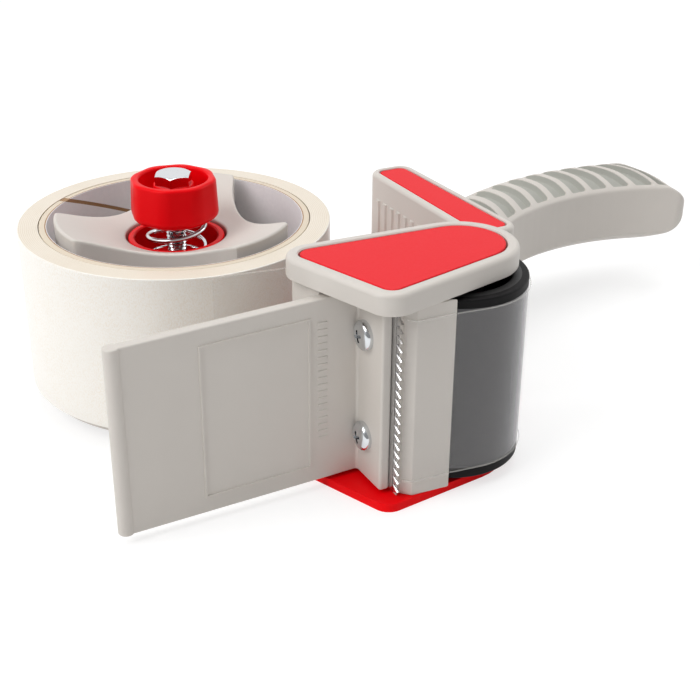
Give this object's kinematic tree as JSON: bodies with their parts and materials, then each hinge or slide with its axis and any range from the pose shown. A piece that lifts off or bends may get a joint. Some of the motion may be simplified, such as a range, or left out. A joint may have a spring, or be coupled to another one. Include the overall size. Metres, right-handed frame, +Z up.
{
  "type": "packing tape dispenser",
  "caption": "Hand-held packing tape dispenser with pistol grip, spring-braked hub, tape roll, rubber applicator roller, serrated blade and smoothing wiper",
  "frame": {"origin": "On the applicator roller's axis, at the underside of the base plate that the dispenser lies on", "axes": "+X runs towards the end of the grip, +Y from the head towards the tape roll, +Z up, parallel to the roller's and the roll's axes"},
  "size_m": [0.2371, 0.1477, 0.0691],
  "materials": {
    "grey_plastic": "warm light grey moulded plastic, fine satin grain",
    "red_plastic": "bright red moulded plastic, semi-gloss",
    "red_inlay": "coral red matt inlay",
    "black_rubber": "smooth black rubber",
    "black_plastic": "black moulded plastic",
    "bush_plastic": "natural acetal",
    "zinc_steel": "bright zinc-plated steel",
    "blade_steel": "thin strip steel",
    "brass": "plain brass",
    "clear_film": "clear polypropylene tape",
    "wound_film": "wound clear tape, cream in the thickness",
    "cardboard": "paper-faced cardboard tube"
  },
  "bodies": {
    "frame": {"base_plate": "red_plastic", "head_block": "grey_plastic", "head_cover": "grey_plastic", "cover_inlay": "red_inlay", "cover_screws": "zinc_steel", "wiper_plate": "grey_plastic", "wiper_screws": "zinc_steel", "cutting_blade": "blade_steel", "grip": "grey_plastic", "neck_inlay": "red_inlay", "frame_screws": "zinc_steel", "roller_axle": "zinc_steel", "tape_strip": "clear_film", "brake_cup": "red_plastic", "spindle_insert": "brass"},
    "roller": {"roller_sleeve": "black_rubber", "roller_drum": "black_plastic", "roller_bushes": "bush_plastic"},
    "roll": {"hub": "grey_plastic", "hub_flange": "grey_plastic", "tape_core": "cardboard", "tape_wound": "wound_film"},
    "brake_slider": {"thrust_washer": "zinc_steel", "brake_spring": "zinc_steel"},
    "knob": {"brake_knob": "red_plastic", "spindle_bolt": "zinc_steel"}
  },
  "joints": [
    {"name": "hub_spin", "type": "hinge", "parent": "frame", "child": "roll", "pos_m": [-0.0505, 0.0765, 0.03], "axis": [0, 0, 1], "continuous": true},
    {"name": "roller_spin", "type": "hinge", "parent": "frame", "child": "roller", "pos_m": [0, 0, 0.03], "axis": [0, 0, 1], "continuous": true},
    {"name": "brake_feed", "type": "slide", "parent": "frame", "child": "brake_slider", "axis": [0, 0, 1], "range_m": [-0.004, 0], "deforming": ["brake_spring"]},
    {"name": "knob_turn", "type": "hinge", "parent": "brake_slider", "child": "knob", "pos_m": [-0.0505, 0.0765, 0.062], "axis": [0, 0, 1], "range_deg": [-1440, 0]}
  ],
  "couplings": [
    {"joint": "roller_spin", "follows": "hub_spin", "ratio": -2.2805},
    {"joint": "knob_turn", "follows": "brake_feed", "rad_per_m": 6283.2}
  ]
}
